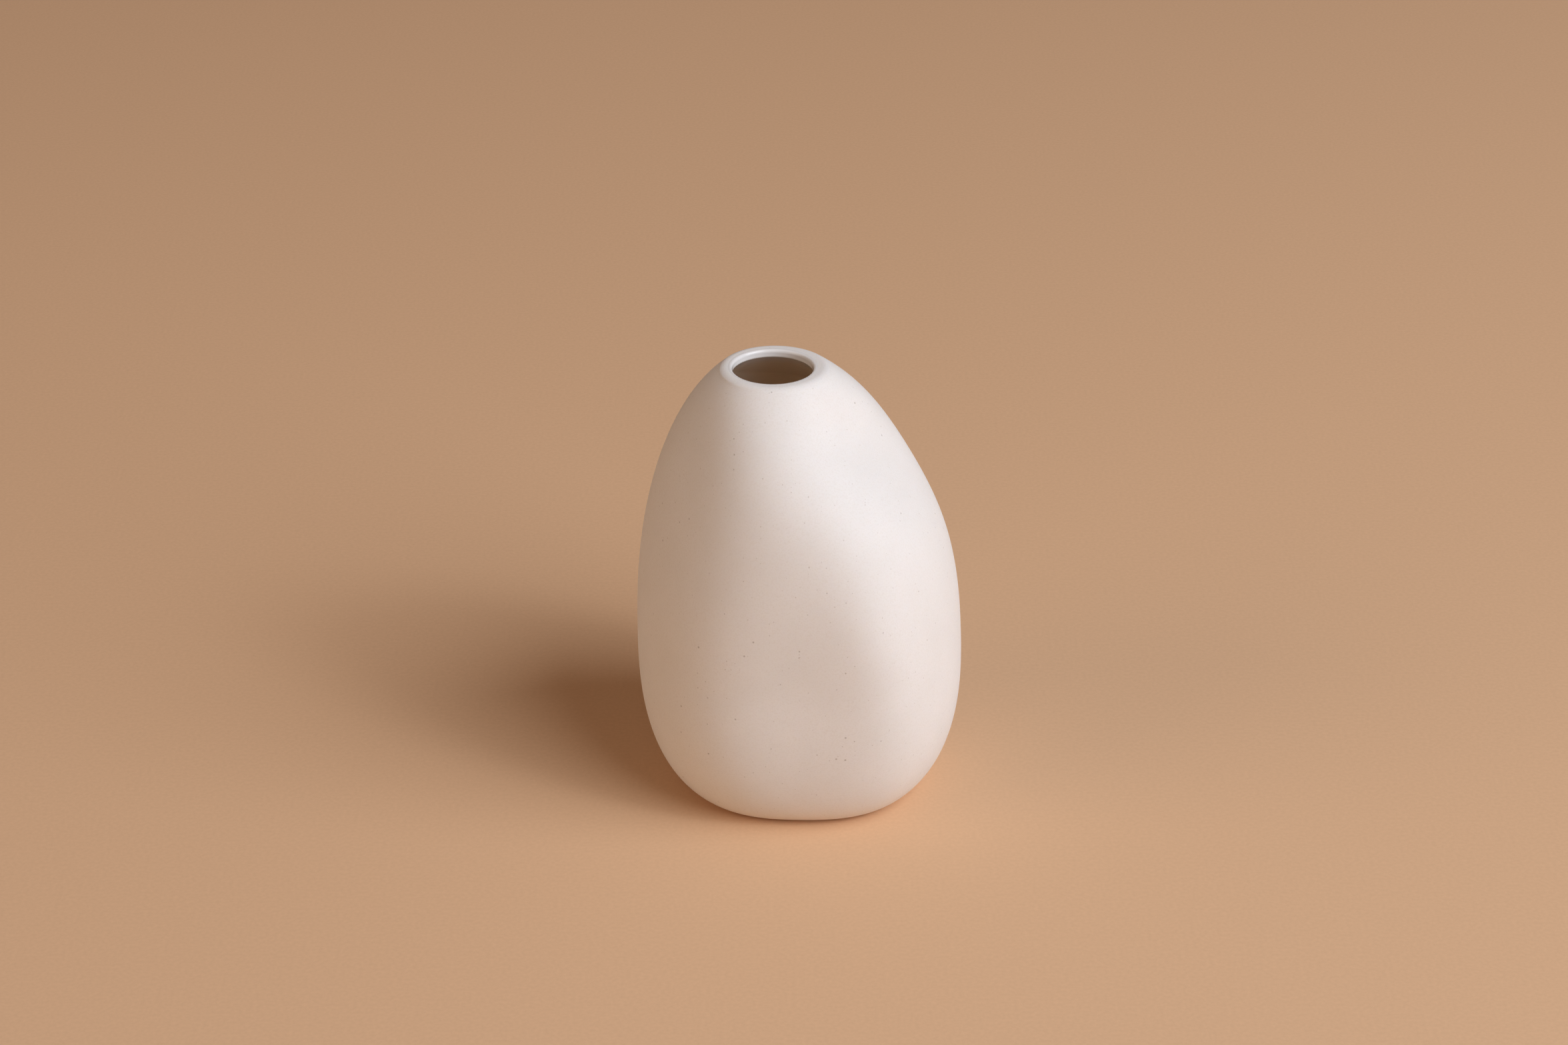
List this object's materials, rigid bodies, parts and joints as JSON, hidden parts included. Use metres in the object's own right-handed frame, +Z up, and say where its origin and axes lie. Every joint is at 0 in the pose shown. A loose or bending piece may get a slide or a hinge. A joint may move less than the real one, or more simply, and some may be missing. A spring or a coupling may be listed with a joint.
{
  "type": "bud vase",
  "caption": "Small egg-shaped ceramic bud vase with softly pressed sides, a flat foot and a round mouth for one or a few stems; matt outside, glazed inside.",
  "frame": {"origin": "on the ground under the middle of the vase's box", "axes": "+Z up from the foot to the mouth, -Y towards the front, which is the broad pressed face, +X to the right seen from the front"},
  "size_m": [0.087, 0.0866, 0.12],
  "materials": {
    "bisque": "matt unglazed porcelain, fine grain with sparse tiny dark specks",
    "inner_glaze": "clear gloss glaze over white clay"
  },
  "bodies": {
    "root": {"vase_body": "bisque", "glaze_lining": "inner_glaze"}
  },
  "joints": []
}
